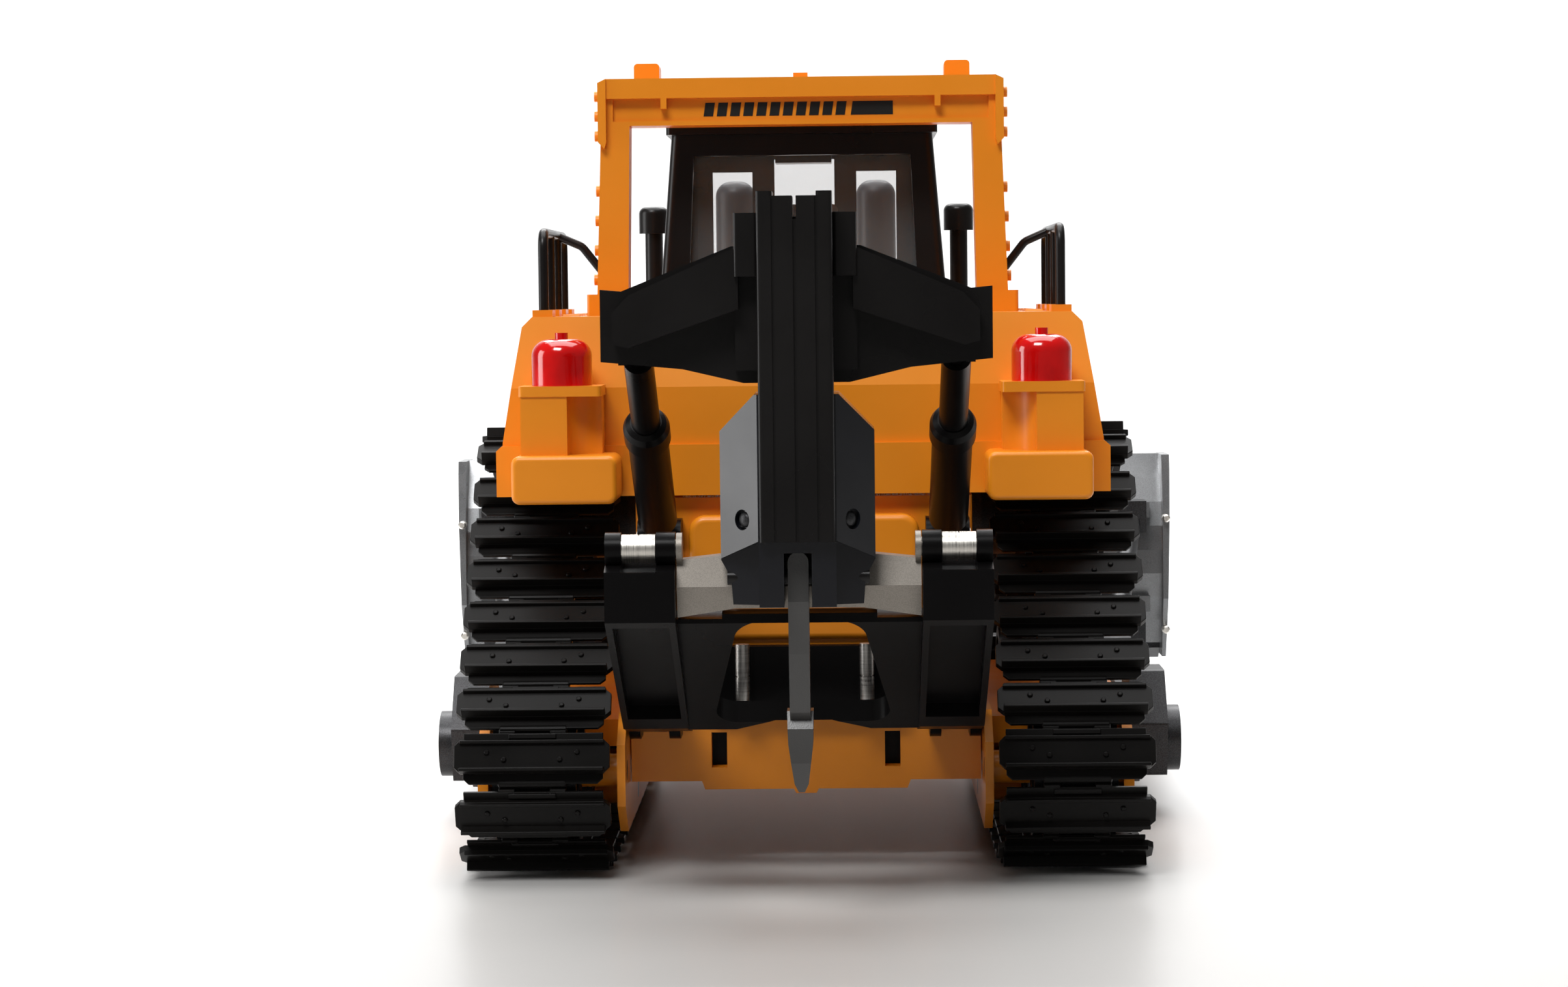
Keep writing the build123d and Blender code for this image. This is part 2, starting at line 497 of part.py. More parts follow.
def rollover_frame():
    """Rear roll bar: two tapering posts, a deep beam with end plates, and a canopy."""
    rear, front = ROPS_Y - 7.0, ROPS_Y + 7.0
    post_shape = rear_profile([(52.0, 219.4), (60.7, 219.4), (62.5, 168), (53.0, 168)],
                              rear, front - 2)
    pad = soften(block(50.5, 65.5, rear - 3, front + 3, DECK, 168.5), 1.2, Axis.Z)
    beam = block(-59, 59, rear, front, 219.4, 233.6)
    beam -= block(-57, 57, rear - 1, rear + 1.2, 220.8, 227.4)
    top_lip = block(-59, 59, rear - 1.6, rear, 227.6, 233.6)
    canopy = block(-56, 56, front, 6.0, 229.5, 233.0)
    canopy -= block(-40, 40, front + 12, -6.0, 229, 234)
    frame = beam + top_lip + canopy
    for piece in both(post_shape) + both(pad):
        frame += piece
    end_plate = rear_profile([(59, 233.6), (61.5, 232.4), (61.5, 214.5), (59.6, 212.5),
                              (59, 214.5)], rear - 2.4, front)
    for piece in both(end_plate):
        frame += piece
    for x in (-41.5, 41.5):
        frame += block(x - 0.9, x + 0.9, rear - 1.6, rear + 1.2, 224.4, 227.6)
    frame += block(-2.2, 2.2, ROPS_Y - 3, ROPS_Y + 3, 233.6, 235.2)
    for side in (-1, 1):
        for z in (173, 182, 191, 200):
            x_wall = 60.7 + (219.4 - z) * 0.035
            x_low, x_high = sorted((side * (x_wall - 1.0), side * (x_wall + 1.4)))
            frame += rod_x((ROPS_Y - 1, z), 1.7, x_low, x_high)
        for z in (216.5, 222.5, 228.5):
            x_low, x_high = sorted((side * 61.0, side * 62.7))
            frame += rod_x((rear + 2, z), 1.6, x_low, x_high)
    lamp = soften(block(44.6, 52.6, -32, -20, 232.0, 240.6), 1.2, Axis.Y)
    for piece in both(lamp):
        frame += piece
    save("rollover_frame", frame)
    lens = block(45.6, 51.6, -20, -18.8, 234.0, 239.6)
    save("roof_lamp_lenses", *both(lens))


def handrails():
    """Bent wire rail along each fender, with a brace from its front end down to the roll bar."""
    radius = 1.5
    corners = [(77, -88, 162), (77, -88, 185), (77, -16, 185), (77, -16, 162)]
    path = FilletPolyline(*corners, radius=5.0)
    rail = sweep(Plane(origin=corners[0], z_dir=(0, 0, 1)) * Circle(radius), path=path)
    rail = Pos(0, 0, 2.0) * rail
    for post_y in (-64.0, -40.0):
        rail += post(77, post_y, 164, 186.5, radius)
    brace = FilletPolyline((77, -40, 187), (69, -40, 183.5), (60.0, -40, 172), (60.0, -40, 162),
                           radius=4.0)
    start = Plane(origin=(77, -40, 187), z_dir=(-8, 0, -3.5))
    rail += sweep(start * Circle(1.3), path=brace)
    save("handrails", *both(rail))


# ---- ripper -------------------------------------------------------------------------------
def draft_frame():
    """Two arms joined by a sloping cross plate with a large rounded window."""
    rear = CARRIAGE_PIVOT
    outline = [(-213.5, 95.4), (-213.5, 82), (-144, 45.2), (-118, 41), (-108, 40), (-104.5, 42),
               (-104.5, 49), (-113, 53.5), (-150, 74), (-196, 100)]
    pocket = side_profile([(-211, 78), (-152, 46), (-149, 52.5), (-208, 86.5)], 34.4, 49.4)
    arm = side_profile(outline, 32.6, 51.2) - pocket
    arm += rod_x(rear, 4.4, 32.6, 51.2)
    gap = rod_x(rear, 8.0, 37.7, 47.0) + block(37.7, 47.0, -222, -190, rear[1], 115)
    gap += side_profile([(-222, 95.2), (-196, 95.2), (-190, 115), (-222, 115)], 37.7, 47.0)
    arm -= gap
    arm -= rod_x(rear, 2.5 + RUNNING, 30, 55)
    arm -= block(30, 40.2, -122, -98, 30, 60)
    arm -= block(47.8, 55, -122, -98, 30, 60)
    arm -= rod_x(FRAME_PIVOT, 2.5 + RUNNING, 30, 55)
    plate = side_profile([(-204, 80.8), (-199, 80.8), (-142, 44.6), (-127, 43.2), (-127, 49.0),
                          (-142, 52.4), (-146, 53.2), (-198, 84.2), (-204, 84.2)], -33, 33)
    window = top_profile([(-16.5, -199), (16.5, -199), (25.5, -146), (-25.5, -146)], 30, 100)
    window = fillet(window.edges().filter_by(Axis.Z).group_by(Axis.Y)[0], 9.0)
    plate -= fillet(window.edges().filter_by(Axis.Z).group_by(Axis.Y)[-1], 6.0)
    plate -= rear_profile([(-25, 43), (-8, 47.6), (8, 47.6), (25, 43), (25, 30), (-25, 30)],
                          -160, -120)
    frame = plate - rod_x(rear, 19.1, -32.6, -20.6) - rod_x(rear, 19.1, 20.6, 32.6)
    frame -= rod_x(rear, 17.8, -20.6, 20.6)
    for piece in both(arm):
        frame += piece
    save("draft_frame", frame)


def carriage():
    rear = CARRIAGE_PIVOT
    mast = block(-9.75, 9.75, MAST_REAR, -212.5, 104, 193)
    for side in (-1, 1):
        x_low, x_high = sorted((side * 5.6, side * 9.75))
        mast += block(x_low, x_high, MAST_REAR, -212.5, 193, 194.2)
    mast = fillet(mast.edges().filter_by(Axis.Z).group_by(Axis.Y)[0], 1.0)
    mast -= block(-0.5, 0.5, MAST_REAR - 1, -212, 187, 196)
    mast -= block(-0.4, 0.4, MAST_REAR - 1, MAST_REAR + 0.6, 103, 188)
    for side in (-1, 1):
        mast -= block(side * 5.6 - 0.35, side * 5.6 + 0.35, MAST_REAR - 1, MAST_REAR + 0.5,
                      103, 195)
    save("ripper_mast", mast)

    beam = side_profile([(-205.5, 82.4), (-209.5, 91), (-206.5, 99.6), (-199, 99.6), (-199, 86),
                         (-201.5, 82.4)], -32.3, 32.3)
    droop = rear_profile([(-32.3, 82.6), (-17, 85), (17, 85), (32.3, 82.6), (32.3, 97.9),
                          (17, 99.5), (-17, 99.5), (-32.3, 97.9)], -215, -190)
    beam = beam & droop
    for side in (-1, 1):
        x_low, x_high = sorted((side * 30.8, side * 32.3))
        beam += rod_x(rear, 4.2, x_low, x_high)
        x_low, x_high = sorted((side * 31.5, side * 51.0))
        beam += rod_x(rear, 2.5, x_low, x_high)
    save("carriage_beam", beam)
    sleeve = rod_x(rear, 3.85, 37.9, 46.8) - rod_x(rear, 2.5, 37, 48)
    groove = rod_x(rear, 4.5, 42.1, 42.5) - rod_x(rear, 3.6, 42.0, 42.6)
    save("pivot_sleeves", *both(sleeve - groove))

    plan = [(-10.2, -227), (10.2, -227), (20.2, -217), (20.2, -196), (-20.2, -196),
            (-20.2, -217)]
    housing = top_profile(plan, 87, 142)
    for side in (-1, 1):
        housing -= rear_profile([(side * 10.0, 143.0), (side * 21.5, 131.0), (side * 21.5, 143.5)],
                                -240, -190)
        housing -= rear_profile([(side * 17.0, 86.0), (side * 17.6, 94.0), (side * 20.4, 99.0),
                                 (side * 22.0, 86.0)], -240, -190)
    housing -= block(-9.75, 9.75, -240, -212.5, 104, 143)
    housing -= block(-3.6, 3.6, -240, -205.0, 80, 101)
    housing -= beam
    for solid in both(rear_profile([(10, 104.2), (22, 98.2), (22, 80), (10, 80)], -240, -200)
                      & top_profile([(10, -240), (22, -240), (22, -215.4), (10, -219.5)],
                                    80, 106)):
        housing -= solid
    for side in (-1, 1):
        hole = Plane(origin=(side * 14.4, -222.8, 109.5), z_dir=(side * 1, -1, 0))
        housing -= hole * Cylinder(2.7, 3.0)
    for solid in both(rod_x(rear, 4.2, 15, 40)):
        housing -= solid
    shank_pin = rod_x((-215.5, 94), 2.0, -18.6, 18.6)
    save("ripper_housing", housing - shank_pin)
    screws = []
    for side in (-1, 1):
        seat = Plane(origin=(side * 13.4, -221.8, 109.5), z_dir=(side * 1, -1, 0))
        head = seat * Cylinder(2.1, 1.4, align=LOW)
        socket = seat * Pos(0, 0, 0.7) * Cylinder(1.0, 2.0, align=LOW)
        screws.append(head - socket)
    save("housing_screws", *screws)

    wing_half = 51.6
    edge = [(-wing_half, 150.5), (-wing_half, 169.5), (-46, 169.0), (-17, 180.5), (17, 180.5),
            (46, 169.0), (wing_half, 169.5), (wing_half, 150.5), (30, 148.4), (14, 144.6),
            (-14, 144.6), (-30, 148.4)]
    wings = rear_profile(edge, -208.5, -204.8)
    for side in (-1, 1):
        for x_ear in (37.6, 44.8):
            x_low, x_high = sorted((side * x_ear, side * (x_ear + 2.4)))
            wings += block(x_low, x_high, -204.8, WING_PIVOT[0], 149.5, 156.5)
            wings += rod_x(WING_PIVOT, 3.5, x_low, x_high)
        wings -= rod_x(WING_PIVOT, 2.0, *sorted((side * 36.0, side * 53.0)))
        arm = [(side * 15.0, 180.4), (side * 43.6, 168.0), (side * 48.0, 163.3),
               (side * 48.0, 155.2), (side * 44.0, 154.2), (side * 15.0, 164.0)]
        wings += rear_profile(arm, -216.0, -208.5)
        x_low, x_high = sorted((side * 9.75, side * 16.0))
        wings += soften(block(x_low, x_high, -218.0, -206.0, 172.5, 189.0), 1.0, Axis.Z)
        wings += block(x_low, x_high, -212.0, -206.0, 148.0, 173.0)
    wings += block(-9.75, 9.75, -212.5, -208.5, 142.0, 188.0)
    save("ripper_wings", wings)
    shank = [(-222.5, 101), (-208.5, 101), (-207.5, 78), (-205.0, 62), (-199.5, 52.5),
             (-204.5, 49.5), (-213.5, 58), (-219.5, 74), (-222.5, 88)]
    crown = block(-2.7, 2.7, -230, -195, 40, 98.3)
    crown += Plane(origin=(0, -230, 98.3), z_dir=(0, 1, 0)) * Cylinder(2.7, 35, align=LOW)
    shank = side_profile(shank, -2.7, 2.7) & crown
    tooth = side_profile([(-203.0, 58.0), (-198.5, 52.0), (-192.6, 36.0), (-196.5, 34.4),
                          (-206.0, 43.5), (-212.5, 53.5), (-210.0, 58.0)], -3.5, 3.5)
    save("ripper_shank", shank - tooth - beam - shank_pin)
    taper = rear_profile([(-3.5, 59), (3.5, 59), (3.3, 49), (1.9, 37), (0.8, 34.4), (-0.8, 34.4),
                          (-1.9, 37), (-3.3, 49)], -215, -185)
    save("ripper_tooth", tooth & taper)
    save("carriage_pins", shank_pin, *both(rod_x(WING_PIVOT, 2.0, 37.2, 47.6)))


def ripper_struts():
    """Strut bodies shaped as cylinders: barrel, domed collar and rod, with an eye at each end."""
    length = math.hypot(*LINK_VECTOR)
    front = Vector(STRUT_X, *STRUT_PIVOT)
    way = Vector(0, *LINK_VECTOR).normalized()

    def at(distance):
        return tuple(front + way * distance)

    half_section = make_face(Polyline((0, 9.0), (4.2, 9.0), (5.7, 11.5), (5.7, 61.5), (6.5, 62.5),
                                      (6.5, 68.5), (5.7, 70.6), (4.4, 71.6), (4.0, 71.6),
                                      (4.0, 20.0), (0, 20.0), close=True))
    turned = revolve(Plane.XZ * half_section, Axis.Z)
    barrel = Plane(origin=at(0.0), z_dir=way) * turned
    barrel += rod(at(3.0), at(9.2), 2.7)
    barrel += rod_x(STRUT_PIVOT, 4.6, STRUT_X - 3.0, STRUT_X + 3.0)
    barrel -= rod_x(STRUT_PIVOT, 2.0 + RUNNING, 30, 60)
    save("strut_barrels", *both(barrel))
    bar = rod(at(20.0), at(length - 5.0), 4.0)
    bar += rod(at(length - 5.5), at(length), 2.0)
    bar += rod_x(WING_PIVOT, 3.4, STRUT_X - 2.0, STRUT_X + 2.0)
    bar -= rod_x(WING_PIVOT, 2.0 + RUNNING, 30, 60)
    save("strut_rods", *both(bar))


# ---- blade --------------------------------------------------------------------------------
def blade_face(offset, z0, z1):
    """Points up the curved blade, hollow towards the front; offset moves them backwards."""
    points = []
    for step in range(9):
        z = z0 + (z1 - z0) * step / 8
        hollow = 15.0 * math.cos(math.pi * (z - 62.0) / 92.0)
        points.append((222.0 - hollow - offset, z))
    return points


def cutting_edge():
    """Wear strip along the foot of the blade."""
    return side_profile([(226.0, 25.0), (222.5, 36.5), (219.0, 36.5), (215.0, 29.5),
                         (222.5, 25.0)], -BLADE_HALF + 3.0, BLADE_HALF - 3.0)


def blade():
    bottom, top = 32.0, 105.0
    front_line = blade_face(0.0, bottom, top)
    back_line = blade_face(3.4, bottom, top)
    board = side_profile(front_line + back_line[::-1], -BLADE_HALF, BLADE_HALF)
    for z in (48.0, 84.0):
        rib_y = 222.0 - 15.0 * math.cos(math.pi * (z - 62.0) / 92.0) - 3.0
        board += block(-BLADE_HALF + 8, BLADE_HALF - 8, rib_y - 6.0, rib_y, z - 3, z + 3)
    cheek = side_profile([(206, 27), (226, 27), (230, 62), (228, 105), (206, 105), (200, 80),
                          (199, 50)], BLADE_HALF - 3.0, BLADE_HALF)
    for piece in both(cheek):
        board += piece
    board = board & rear_profile([(-BLADE_HALF, 115), (-BLADE_HALF, 100), (-BLADE_HALF + 1.6, 24),
                                  (BLADE_HALF - 1.6, 24), (BLADE_HALF, 100), (BLADE_HALF, 115)],
                                 150, 240)
    for side in (-1, 1):
        for x_ear in (LIFT_X - 6.2, LIFT_X + 3.2):
            x_low, x_high = sorted((side * x_ear, side * (x_ear + 3.0)))
            ear = block(x_low, x_high, LIFT_EYE[0], 209, LIFT_EYE[1] - 5, LIFT_EYE[1] + 5)
            ear += rod_x(LIFT_EYE, 5.0, x_low, x_high)
            board += ear
    board += side_profile([(209.0, 104), (213.5, 104), (215.5, 113), (212.0, 113)], -70, 70)
    for piece in both(rod_x(LIFT_EYE, 1.5, LIFT_X - 6.6, LIFT_X + 6.6)):
        board += piece
    save("blade_board", board)
    save("cutting_edge", cutting_edge() - board)
    return board


def push_arms(board):
    """Arm from each trunnion forward outside the track to the back of the blade."""
    x0, x1 = 101.5, 116.0
    arm = side_profile([(-24, 30), (-12, 46), (6, 46), (24, 34), (196, 52), (196, 36), (20, 14),
                        (-20, 13)], x0 + 1.5, x1 - 1.5)
    arm = soften(arm, 1.2, Axis.X)
    arm += rod_x(TRUNNION, 10.5, x0, 119.0)
    arm -= rod_x(TRUNNION, 5.0 + RUNNING, x0 - 1, 113.0)
    arm += block(x0 - 1.5, x1 + 1.0, 186, 199.0, 34, 56)
    cap = rod_x(TRUNNION, 4.0, 118.4, 120.0)
    arm -= cap
    arm += rod((109, 120, 40), (122, 198, 82), 3.6)
    arm += block(117, 127, 192, 203, 76, 88)
    arm += block(117, 126, 186, 199, 34, 46)
    arm -= board
    save("push_arms", *both(arm.solids().sort_by(lambda solid: solid.volume)[-1]))


def lift_cylinders():
    """Blade lift cylinders: barrels pivot beside the radiator, rods reach down to the blade."""
    way = Vector(0, LIFT_EYE[0] - LIFT_PIVOT[0], LIFT_EYE[1] - LIFT_PIVOT[1])
    length = way.length
    way = way.normalized()
    origin = Vector(LIFT_X, *LIFT_PIVOT)

    def at(distance):
        return tuple(origin + way * distance)

    barrel = rod(at(6.0), at(50.0), 5.2)
    barrel += rod(at(45.0), at(50.0), 5.8)
    barrel -= rod(at(8.0), at(52.0), 2.8 + RUNNING)
    barrel += rod_x(LIFT_PIVOT, 4.8, LIFT_X - 2.6, LIFT_X + 2.6)
    barrel += rod(at(2.5), at(7.0), 2.4)
    barrel -= rod_x(LIFT_PIVOT, 2.0 + RUNNING, LIFT_X - 10.0, LIFT_X + 10.0)
    save("lift_barrels", *both(barrel))
    bar = rod(at(21.0), at(length - 4.0), 2.8)
    bar += rod_x(LIFT_EYE, 4.8, LIFT_X - 2.6, LIFT_X + 2.6)
    bar -= rod_x(LIFT_EYE, 2.7, 30, 56)
    save("lift_rods", *both(bar))


def screws():
    """Countersunk screws that close the chassis from below."""
    made = []
    for x, y in ((-30, 90), (30, 90), (-40, -80), (40, -80)):
        head = Pos(x, y, TUB_BOTTOM - 1.2) * Cylinder(2.6, 1.2, align=LOW)
        head -= Pos(x, y, TUB_BOTTOM - 1.6) * Box(3.2, 0.7, 1.6)
        head -= Pos(x, y, TUB_BOTTOM - 1.6) * Box(0.7, 3.2, 1.6)
        made.append(head)
    save("chassis_screws", *made)


os.makedirs("parts", exist_ok=True)
tracks()
running_gear()
sprockets()
track_frames()
chassis()
hitch_bracket()
tail_lamps(body_shell())
hood()
air_cleaners()
cab()
rollover_frame()
handrails()
draft_frame()
carriage()
ripper_struts()
push_arms(blade())
lift_cylinders()
screws()
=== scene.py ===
import json
import math

import bmesh
import bpy
from mathutils import Matrix, Vector


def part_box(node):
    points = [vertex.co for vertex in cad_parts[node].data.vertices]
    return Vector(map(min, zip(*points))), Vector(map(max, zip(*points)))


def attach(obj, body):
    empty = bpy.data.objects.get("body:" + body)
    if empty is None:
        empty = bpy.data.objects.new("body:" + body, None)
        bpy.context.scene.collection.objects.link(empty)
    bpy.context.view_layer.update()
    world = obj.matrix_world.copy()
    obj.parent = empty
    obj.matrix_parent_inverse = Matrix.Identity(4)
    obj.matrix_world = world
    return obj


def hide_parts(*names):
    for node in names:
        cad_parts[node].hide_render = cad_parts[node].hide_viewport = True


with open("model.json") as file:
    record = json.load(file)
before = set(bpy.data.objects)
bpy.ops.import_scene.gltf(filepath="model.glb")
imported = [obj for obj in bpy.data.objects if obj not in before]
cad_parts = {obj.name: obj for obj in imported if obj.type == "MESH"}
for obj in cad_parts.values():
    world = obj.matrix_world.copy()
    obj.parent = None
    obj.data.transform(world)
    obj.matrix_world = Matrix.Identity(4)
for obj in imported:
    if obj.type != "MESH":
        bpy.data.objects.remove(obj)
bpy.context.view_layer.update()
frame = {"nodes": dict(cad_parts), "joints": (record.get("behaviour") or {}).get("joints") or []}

MM = 0.001
NODES = frame["nodes"]
JOINTS = {joint["name"]: joint for joint in frame["joints"]}


# ---- materials ----------------------------------------------------------------------------
def new_material(name):
    material = bpy.data.materials.new(name)
    material.use_nodes = True
    tree = material.node_tree
    shader = tree.nodes["Principled BSDF"]
    return material, tree, shader


def noise(tree, scale, detail, roughness=0.5):
    coords = tree.nodes.new("ShaderNodeTexCoord")
    node = tree.nodes.new("ShaderNodeTexNoise")
    node.inputs["Scale"].default_value = scale
    node.inputs["Detail"].default_value = detail
    node.inputs["Roughness"].default_value = roughness
    tree.links.new(coords.outputs["Object"], node.inputs["Vector"])
    return node.outputs["Fac"]


def ramp(tree, value, stops):
    node = tree.nodes.new("ShaderNodeValToRGB")
    elements = node.color_ramp.elements
    while len(elements) < len(stops):
        elements.new(0.5)
    for element, (place, colour) in zip(elements, stops):
        element.position = place
        element.color = (*colour, 1.0)
    tree.links.new(value, node.inputs["Fac"])
    return node.outputs["Color"]


def spread(tree, value, low, high):
    """Maps a noise value to a range of roughness."""
    node = tree.nodes.new("ShaderNodeMapRange")
    node.inputs["From Min"].default_value = 0.3
    node.inputs["From Max"].default_value = 0.7
    node.inputs["To Min"].default_value = low
    node.inputs["To Max"].default_value = high
    tree.links.new(value, node.inputs["Value"])
    return node.outputs["Result"]


def bump(tree, shader, heights):
    """Stacks bumps: each entry is (height output, strength, distance in metres)."""
    normal = None
    for height, strength, distance in heights:
        node = tree.nodes.new("ShaderNodeBump")
        node.inputs["Strength"].default_value = strength
        node.inputs["Distance"].default_value = distance
        tree.links.new(height, node.inputs["Height"])
        if normal is not None:
            tree.links.new(normal, node.inputs["Normal"])
        normal = node.outputs["Normal"]
    tree.links.new(normal, shader.inputs["Normal"])


def tint(colour, factor):
    return tuple(min(1.0, channel * factor) for channel in colour)


def moulded(name, colour, gloss, grain=0.25, flow=0.05, mottle=0.10, specular=0.5):
    """Injection-moulded plastic: fine grain, faint flow marks and slightly uneven gloss."""
    material, tree, shader = new_material(name)
    broad = noise(tree, 28.0, 3.0)
    fine = noise(tree, 2600.0, 2.0)
    cloud = noise(tree, 9.0, 2.0)
    colours = ramp(tree, broad, [(0.30, tint(colour, 1.0 - mottle)), (0.70, tint(colour, 1.0 + mottle))])
    tree.links.new(colours, shader.inputs["Base Color"])
    tree.links.new(spread(tree, broad, gloss - 0.05, gloss + 0.06), shader.inputs["Roughness"])
    bump(tree, shader, [(cloud, flow, 0.002), (fine, grain, 0.00004)])
    shader.inputs["Specular IOR Level"].default_value = specular
    return material


def metallic_paint(name, colour, gloss, flake=0.35):
    """Plastic with metallic paint: fine flakes and soft cloudy streaks."""
    material, tree, shader = new_material(name)
    broad = noise(tree, 40.0, 5.0, 0.6)
    flakes = noise(tree, 3800.0, 1.0)
    colours = ramp(tree, flakes, [(0.35, tint(colour, 1.0 - flake)), (0.65, tint(colour, 1.0 + flake))])
    tree.links.new(colours, shader.inputs["Base Color"])
    tree.links.new(spread(tree, broad, gloss - 0.08, gloss + 0.08), shader.inputs["Roughness"])
    bump(tree, shader, [(broad, 0.15, 0.0006), (flakes, 0.2, 0.00004)])
    shader.inputs["Metallic"].default_value = 0.7
    return material


def turned_metal(name, colour, gloss, along="X", depth=0.25):
    """Brushed metal with fine scratches across one axis."""
    material, tree, shader = new_material(name)
    coords = tree.nodes.new("ShaderNodeTexCoord")
    mapping = tree.nodes.new("ShaderNodeMapping")
    stretch = {"X": (4000.0, 60.0, 60.0), "Z": (60.0, 60.0, 4000.0)}[along]
    mapping.inputs["Scale"].default_value = stretch
    scratches = tree.nodes.new("ShaderNodeTexNoise")
    scratches.inputs["Scale"].default_value = 1.0
    scratches.inputs["Detail"].default_value = 3.0
    tree.links.new(coords.outputs["Object"], mapping.inputs["Vector"])
    tree.links.new(mapping.outputs["Vector"], scratches.inputs["Vector"])
    value = scratches.outputs["Fac"]
    colours = ramp(tree, value, [(0.3, tint(colour, 0.8)), (0.7, tint(colour, 1.15))])
    tree.links.new(colours, shader.inputs["Base Color"])
    tree.links.new(spread(tree, value, gloss - 0.08, gloss + 0.1), shader.inputs["Roughness"])
    bump(tree, shader, [(value, depth, 0.00004)])
    shader.inputs["Metallic"].default_value = 1.0
    return material


def clear_plastic(name, colour, alpha, gloss):
    """Thin clear plastic pane with faint smears."""
    material, tree, shader = new_material(name)
    smear = noise(tree, 60.0, 4.0)
    tree.links.new(spread(tree, smear, gloss, gloss + 0.06), shader.inputs["Roughness"])
    colours = ramp(tree, smear, [(0.3, tint(colour, 0.93)), (0.7, colour)])
    tree.links.new(colours, shader.inputs["Base Color"])
    shader.inputs["Alpha"].default_value = alpha
    return material


def lens_plastic(name, colour):
    """Translucent coloured lens: deep colour, wet gloss, faint moulded ribs."""
    material, tree, shader = new_material(name)
    broad = noise(tree, 120.0, 2.0)
    colours = ramp(tree, broad, [(0.3, tint(colour, 0.82)), (0.7, tint(colour, 1.1))])
    tree.links.new(colours, shader.inputs["Base Color"])
    tree.links.new(spread(tree, broad, 0.10, 0.16), shader.inputs["Roughness"])
    bump(tree, shader, [(broad, 0.04, 0.001)])
    shader.inputs["Subsurface Weight"].default_value = 0.12
    shader.inputs["Subsurface Radius"].default_value = (0.004, 0.0006, 0.0004)
    shader.inputs["Coat Weight"].default_value = 0.6
    shader.inputs["Coat Roughness"].default_value = 0.06
    return material


ORANGE = moulded("orange_plastic", (0.84, 0.268, 0.011), 0.34, grain=0.14, mottle=0.03, specular=0.42)
BLACK = moulded("black_plastic", (0.0078, 0.0070, 0.0068), 0.30, grain=0.18, mottle=0.15, specular=0.26)
# darker, less glossy copy of the black plastic: painted shade for the draft frame, ripper brackets and
# struts
SHADED_BLACK = moulded("black_plastic_painted_shade", (0.0042, 0.0038, 0.0040), 0.32, grain=0.18, mottle=0.15,
                     specular=0.09)
TRACK = moulded("track_plastic", (0.0052, 0.0046, 0.0042), 0.36, grain=0.35, mottle=0.25, specular=0.13)
GLOSSY_BLACK = moulded("glossy_black", (0.006, 0.0065, 0.009), 0.22, grain=0.08, mottle=0.1, specular=0.5)
INTERIOR = moulded("interior_grey", (0.050, 0.054, 0.062), 0.40, grain=0.35)
DECAL = moulded("decal_black", (0.012, 0.011, 0.010), 0.30, grain=0.08)
CAST = moulded("cast_grey", (0.030, 0.029, 0.028), 0.34, grain=0.9, flow=0.25, mottle=0.3, specular=0.8)
GREEN = moulded("board_green", (0.015, 0.13, 0.05), 0.35)
BATTERY = moulded("battery_wrap", (0.03, 0.07, 0.24), 0.25)
SILVER_PAINT = metallic_paint("silver_paint", (0.20, 0.205, 0.21), 0.32, flake=0.15)
GUNMETAL = metallic_paint("gunmetal_paint", (0.040, 0.040, 0.042), 0.40)
WARM_METAL = metallic_paint("warm_cast_metal", (0.27, 0.245, 0.215), 0.48, flake=0.12)
STEEL = turned_metal("brushed_steel", (0.62, 0.60, 0.57), 0.28)
SATIN_STEEL = turned_metal("satin_steel", (0.78, 0.75, 0.69), 0.36, depth=0.05)
STEEL_UPRIGHT = turned_metal("brushed_steel_upright", (0.62, 0.60, 0.57), 0.36, along="Z", depth=0.04)
WINDOW = clear_plastic("window_plastic", (0.30, 0.34, 0.36), 0.14, gloss=0.03)
CLEAR = clear_plastic("lamp_lens", (0.92, 0.94, 0.96), 0.45, gloss=0.08)
RED = lens_plastic("red_lens", (0.62, 0.003, 0.003))


# ---- mesh helpers -------------------------------------------------------------------------
EDGE_ANGLE = 35.0             # degrees between faces from which an edge counts as sharp


def bevelled(obj, width, segments=2, angle=EDGE_ANGLE):
    modifier = obj.modifiers.new("edges", "BEVEL")
    modifier.width = width
    modifier.segments = segments
    modifier.limit_method = "ANGLE"
    modifier.angle_limit = math.radians(angle)
    modifier.harden_normals = True


def smooth(obj):
    for polygon in obj.data.polygons:
        polygon.use_smooth = True
    edges_by_angle = obj.modifiers.new("sharp edges", "EDGE_SPLIT")
    edges_by_angle.split_angle = math.radians(EDGE_ANGLE)
    return obj


def piece(name, bm, material, body):
    """Turns a bmesh into a named object that rides on a body."""
    mesh = bpy.data.meshes.new(name)
    bmesh.ops.recalc_face_normals(bm, faces=bm.faces)
    bm.to_mesh(mesh)
    bm.free()
    obj = bpy.data.objects.new(name, mesh)
    bpy.context.scene.collection.objects.link(obj)
    obj.data.materials.append(material)
    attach(obj, body)
    return obj


def dress(node, material, width, segments=2):
    """Gives a CAD node its material and small rounded edges."""
    obj = NODES[node]
    obj.data.materials.clear()
    obj.data.materials.append(material)
    if width:
        bevelled(obj, width, segments)


def loft(bm, rings):
    """Skins a list of point rings and closes both ends."""
    rows = [[bm.verts.new(point) for point in ring] for ring in rings]
    count = len(rows[0])
    for near, far in zip(rows, rows[1:]):
        for index in range(count):
            after = (index + 1) % count
            bm.faces.new((near[index], near[after], far[after], far[index]))
    bm.faces.new(rows[0][::-1])
    bm.faces.new(rows[-1])


def prism(bm, outline, low, high, place):
    """Extrudes a flat outline between two depths; place turns (u, v, depth) into a point."""
    loft(bm, [[place(u, v, depth) for u, v in outline] for depth in (low, high)])


def in_mm(outline):
    """Turns an outline written in millimetres into metres."""
    return [(u * MM, v * MM) for u, v in outline]


def across(u, v, depth):
    """Outline in Y and Z, depth along X."""
    return (depth, u, v)


def from_above(u, v, depth):
    """Outline in X and Y, depth along Z."""
    return (u, v, depth)


